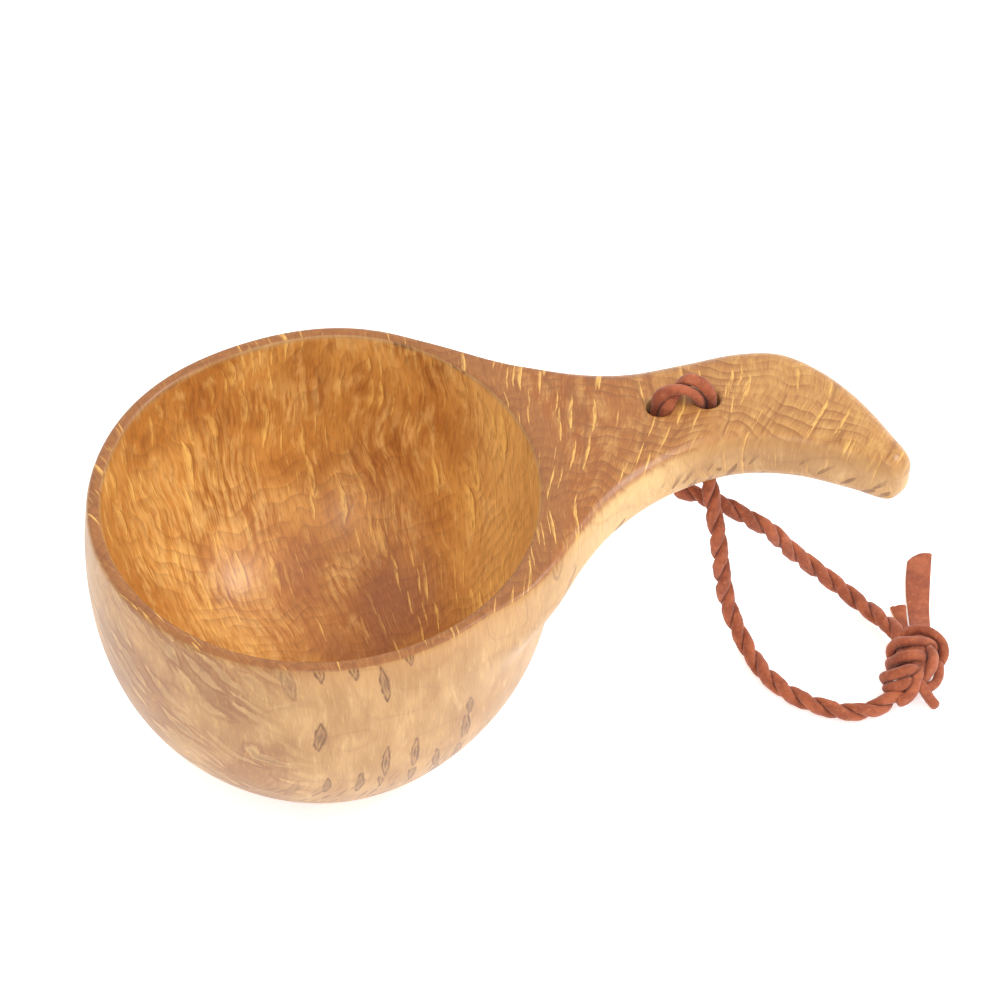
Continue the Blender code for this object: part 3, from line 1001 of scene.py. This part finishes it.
    roughness = s.add(0.28, s.times(fibre, 0.14))
    s.bump(s.add(s.times(fibre, 0.5), s.times(curl, 0.5)), 0.00005, 0.35)
    return s.finish(colour, roughness)


def flames(s, u, out, z, sizes, half_width, chance):
    """Long thin lenses, one to a cell, in some of the cells: (body, dark side)."""
    place = s.scaled((u, out, z), sizes, (sizes[0], 0.5, sizes[2]))
    found = s.cells(place)
    gap = {0: place, 1: found["Position"]}
    gap = s.split(s.node("ShaderNodeVectorMath", gap, operation="SUBTRACT").outputs[0])
    du = s.times(gap[0], sizes[0])
    reach = s.add(s.times(gap[1], gap[1]), s.times(gap[2], gap[2]))
    lot = s.split(found["Color"])
    width = s.times(s.less(1.0, s.times(reach, s.add(3.5, s.times(lot[2], 4.0)))), half_width)
    there = s.times(s.math("LESS_THAN", lot[0], chance), s.step(width, 0.0, 0.08))
    at = s.math("DIVIDE", du, s.math("MAXIMUM", width, 0.05))
    body = s.times(s.times(s.step(at, -1.3, 0.4), s.step(at, 1.12, 0.88)), there)
    dark = s.times(s.step(at, 0.90, 1.15), s.step(at, 1.75, 1.20))
    return body, s.times(s.times(dark, there), s.add(0.25, s.times(lot[1], 0.75)))


def eyes(s, across, deep, along, sizes, wide, tall, chance):
    """Outlined lenses, one to a cell, in some of the cells: (body, outline, dark heart)."""
    place = s.scaled((across, deep, along), sizes, (0.35, 0.2, 0.6))
    found = s.cells(place)
    gap = {0: place, 1: found["Position"]}
    gap = s.split(s.node("ShaderNodeVectorMath", gap, operation="SUBTRACT").outputs[0])
    lot = s.split(found["Color"])
    there = s.math("LESS_THAN", lot[0], chance)
    rough = s.less(s.noise(s.scaled((across, deep, along), (1.6, 4.0, 2.4)), 2), 0.5)
    from_middle = s.math("ABSOLUTE", s.add(s.times(gap[0], sizes[0]), s.times(rough, wide * 1.2)))
    up = s.times(gap[2], sizes[2])
    height = s.times(s.add(0.6, s.times(lot[1], 0.6)), tall)
    reach = s.math("DIVIDE", s.times(up, up), s.times(height, height))
    width = s.times(s.less(1.0, reach), s.times(s.add(0.7, s.times(lot[2], 0.5)), wide))
    depth = s.less(width, from_middle)
    body = s.times(s.step(depth, 0.0, wide * 0.5), there)
    uneven = s.add(0.85, s.times(rough, 1.6))
    line = s.times(s.step(s.math("ABSOLUTE", depth), wide * 0.48, wide * 0.06), s.step(reach, 1.15, 0.95))
    heart = s.add(s.times(from_middle, 2.4), s.times(s.math("ABSOLUTE", up), 0.65))
    heart = s.step(heart, tall * 0.46, tall * 0.20)
    heart = s.times(s.times(heart, s.add(0.35, s.times(lot[2], 0.65))), there)
    return body, s.times(s.times(line, uneven), there), heart


def skin_figure(s, colour, place, grain, skin, handle):
    """The colour with what the outside shows: loops, upright eyes, slanted bands and curls."""
    x, y, z = place
    u, out = grain
    flat_cut = s.noise(s.scaled(place, (26, 26, 18), (2, 6, 3)), 1)
    loop = s.math("PINGPONG", s.times(flat_cut, 12.0), 1.0)
    colour = s.mix(s.times(s.times(s.step(loop, 0.9, 0.1), skin), 0.08), colour, RING_BROWN)
    colour = s.mix(s.times(s.times(s.step(loop, 0.14, 0.02), skin), 0.14), colour, RING_BROWN)

    bowl = s.times(skin, s.inverse(handle))
    left = s.step(x, 2.0, -14.0)
    front = s.times(bowl, s.inverse(left))
    eye, eye_line, eye_heart = eyes(s, u, out, z, (9.0, 60.0, 14.0), 1.25, 5.2, 0.42)
    colour = s.mix(s.times(s.times(eye, front), 0.18), colour, RING_BROWN)
    colour = s.mix(s.times(s.times(eye_line, front), 0.85), colour, MARK_BROWN)
    colour = s.mix(s.times(s.times(eye_heart, front), 0.85), colour, MARK_DARK)

    # round the left of the bowl the figure runs down to the right
    round_bowl = s.less(x, y)
    bend = s.times(s.less(s.noise(s.scaled(place, (14, 14, 10), (6, 1, 1)), 1), 0.5), 9.0)
    rise = s.add(s.add(s.times(round_bowl, 0.40), s.times(z, 0.82)), bend)
    run = s.add(s.times(round_bowl, 0.58), s.times(z, -0.57))
    deep = s.add(x, y)
    leftward = s.times(bowl, left)
    band, band_line, band_heart = eyes(s, rise, deep, run, (4.2, 90.0, 13.0), 1.7, 8.5, 0.95)
    patchy = s.step(s.noise(s.scaled(place, (20, 20, 15), (4, 4, 2)), 1), 0.38, 0.60)
    leftward = s.times(leftward, s.add(0.25, s.times(patchy, 0.75)))
    colour = s.mix(s.times(s.times(s.inverse(band), leftward), 0.54), colour, RING_BROWN)
    colour = s.mix(s.times(s.times(band, leftward), 0.25), colour, CREAM_PALE)
    colour = s.mix(s.times(s.times(band_line, leftward), 0.60), colour, RING_BROWN)
    colour = s.mix(s.times(s.times(band_heart, leftward), 0.60), colour, MARK_BROWN)

    # small dark curls low down and along the handle's edge
    lean = s.add(s.times(u, 0.85), s.times(z, -0.50))
    climb = s.add(s.times(u, 0.50), s.times(z, 0.85))
    curl, curl_line, _ = eyes(s, lean, out, climb, (2.6, 60.0, 6.5), 0.36, 2.6, 0.65)
    edge = s.times(handle, s.times(skin, s.step(z, 54.0, 50.0)))
    low = s.add(s.times(bowl, s.step(z, 25.0, 15.0)), edge)
    colour = s.mix(s.times(s.times(curl, low), 0.65), colour, MARK_BROWN)
    return s.mix(s.times(s.times(curl_line, low), 0.75), colour, MARK_BROWN)


def split_leather(name, strip=False):
    """Matte red-brown leather: a fine nap, scuffed paler and darker in random patches, with painted shade
    where plies press against each other.
    """
    s = Shade(name)
    coordinates = s.node("ShaderNodeTexCoord", {}).outputs
    place = coordinates["Object"]
    parts = [s.times(c, 1000.0) for c in s.split(place)]
    tone = s.noise(s.scaled(parts, (3.2, 3.2, 3.2)), 3, 0.6)
    nap = s.noise(s.scaled(parts, (0.16, 0.16, 0.16)), 3, 0.65)
    scuff = s.noise(s.scaled(parts, (0.9, 0.9, 0.9), (3, 1, 7)), 4, 0.65)
    colour = s.mix(s.step(tone, 0.36, 0.66), LEATHER_DARK, LEATHER)
    colour = s.mix(s.times(s.step(scuff, 0.52, 0.74), 0.55), colour, LEATHER_SCUFFED)
    colour = s.mix(s.times(s.step(scuff, 0.42, 0.26), 0.60), colour, LEATHER_DARK_PATCH_AND_SHADE)
    colour = s.mix(s.times(s.step(nap, 0.55, 0.75), 0.25), colour, LEATHER_SCUFFED)
    # painted shade: darker where one ply presses against another, standing in for the shadow in the
    # crevice
    fold = s.node("ShaderNodeAttribute", {}, attribute_name="fold").outputs["Fac"]
    colour = s.mix(s.times(fold, 0.85), colour, LEATHER_DARK_PATCH_AND_SHADE)
    if strip:
        up = s.math("ABSOLUTE", s.split(coordinates["Normal"])[2])
        colour = s.mix(s.times(s.step(up, 0.75, 0.25), 0.8), colour, LEATHER_CUT)
    s.bump(s.add(nap, s.times(scuff, 0.8)), 0.00012, 0.7)
    s.shader.inputs["Sheen Weight"].default_value = 0.18
    s.shader.inputs["Sheen Roughness"].default_value = 0.5
    s.shader.inputs["Specular IOR Level"].default_value = 0.3
    return s.finish(colour, s.add(0.62, s.times(nap, 0.2)))


def plain_floor():
    """A matte white sheet with a trace of paper tooth."""
    s = Shade("floor_white")
    place = s.node("ShaderNodeTexCoord", {}).outputs["Object"]
    parts = [s.times(c, 1000.0) for c in s.split(place)]
    tooth = s.noise(s.scaled(parts, (1.2, 1.2, 1.2)), 2)
    s.shader.inputs["Emission Color"].default_value = (1.0, 1.0, 1.0, 1.0)
    s.shader.inputs["Emission Strength"].default_value = 0.45
    return s.finish(s.mix(tooth, FLOOR_WHITE, (1.0, 1.0, 1.0)), s.add(0.85, s.times(tooth, 0.1)))


# ---------------------------------------------------------------- camera and stage


def camera():
    elevation = CAMERA_ELEVATION
    target = np.array((0.0348, -0.0025, RIM_Z))
    away = np.array((0.0, -math.cos(elevation), math.sin(elevation)))
    data = bpy.data.cameras.new("camera")
    data.sensor_width = 36.0
    data.lens = CAMERA_LENS
    data.clip_start = 0.01
    obj = bpy.data.objects.new("camera", data)
    obj.location = target + away * CAMERA_DISTANCE
    obj.rotation_euler = (math.pi / 2 - elevation, 0.0, 0.0)
    bpy.context.scene.collection.objects.link(obj)
    bpy.context.scene.camera = obj


def softbox(name, place, target, size, power):
    data = bpy.data.lights.new(name, "AREA")
    data.shape = "DISK"
    data.size = size
    data.energy = power
    obj = bpy.data.objects.new(name, data)
    obj.location = place
    way = np.array(target) - np.array(place)
    flat = math.hypot(way[0], way[1])
    obj.rotation_euler = (math.atan2(flat, -way[2]), 0.0, math.atan2(way[1], way[0]) - math.pi / 2)
    bpy.context.scene.collection.objects.link(obj)


def stage():
    mesh = bpy.data.meshes.new("floor")
    size = 3.0
    corners = [(-size, -size, 0), (size, -size, 0), (size, size, 0), (-size, size, 0)]
    mesh.from_pydata(corners, [], [(0, 1, 2, 3)])
    floor = bpy.data.objects.new("floor", mesh)
    floor.location.z = -0.0001
    mesh.materials.append(plain_floor())
    bpy.context.scene.collection.objects.link(floor)
    world = bpy.data.worlds.new("studio")
    world.use_nodes = True
    world.node_tree.nodes["Background"].inputs["Color"].default_value = (1.0, 1.0, 1.0, 1.0)
    world.node_tree.nodes["Background"].inputs["Strength"].default_value = 1.06
    bpy.context.scene.world = world
    softbox("key", (0.72, 0.02, 0.80), (0.0, 0.0, 0.02), 0.32, 4.6)
    softbox("front", (-0.05, -0.80, 0.90), (0.07, 0.0, 0.05), 0.24, 1.6)


def main():
    bpy.context.scene.view_settings.view_transform = "Standard"
    camera()
    stage()
    carved_cup(burl_birch())
    leather = split_leather("leather")
    strip_leather = split_leather("strip_leather", strip=True)
    loose = bridge(leather)
    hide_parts("lanyard_bridge")
    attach(loose, "cup")
    ends = [
        tied_knot(leather),
        thin_end(leather),
        flat_end("flat_end", "flat_tail", FLAT_TAIL, 0.0020, 0.0, 1, strip_leather),
        flat_end("short_end", "short_tail", SHORT_TAIL, 0.0016, 0.0003, 4, strip_leather),
    ]
    for piece in ends:
        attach(piece, "lanyard")
    for name, node, route, end, phase, seed, hole in (
        ("front_lace", "lanyard_leg_front", FRONT_LEG_ROUTE, FRONT_LEG_END, 0.0, 5, HOLE_CENTRES[1]),
        ("back_lace", "lanyard_leg_back", BACK_LEG_ROUTE, BACK_LEG_END, 1.0, 7, HOLE_CENTRES[0]),
    ):
        leg, line = twisted_lace(name, whole_route(route, end), phase, seed, leather)
        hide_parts(node)
        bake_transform(leg)


main()
